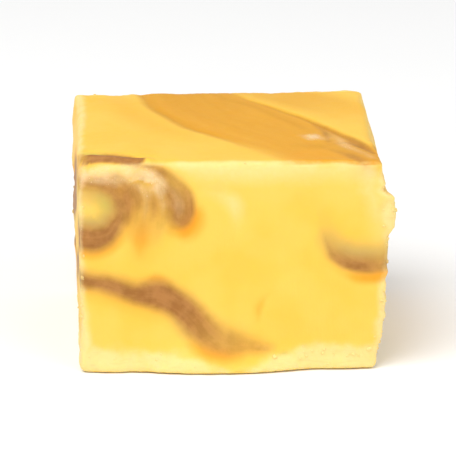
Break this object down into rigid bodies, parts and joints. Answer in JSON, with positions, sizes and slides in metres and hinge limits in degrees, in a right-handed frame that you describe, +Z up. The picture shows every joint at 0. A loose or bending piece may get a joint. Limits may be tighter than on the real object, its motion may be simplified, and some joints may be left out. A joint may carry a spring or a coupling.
{
  "type": "fudge cube",
  "caption": "Hand-cut cube of soft marbled fudge with crisp knife-cut walls, a smooth poured top and a rough flared foot.",
  "frame": {"origin": "middle of the bounding box's base, on the surface that the cube stands on", "axes": "+X along the width of the front cut, to its right; +Y from the front cut towards the back cut; +Z up, through the slab's thickness to the poured top"},
  "size_m": [0.0348, 0.0304, 0.0235],
  "materials": {
    "fudge": "soft waxy sheen, yellow marbled with brown"
  },
  "bodies": {
    "root": {"fudge_cube": "fudge"}
  },
  "joints": []
}
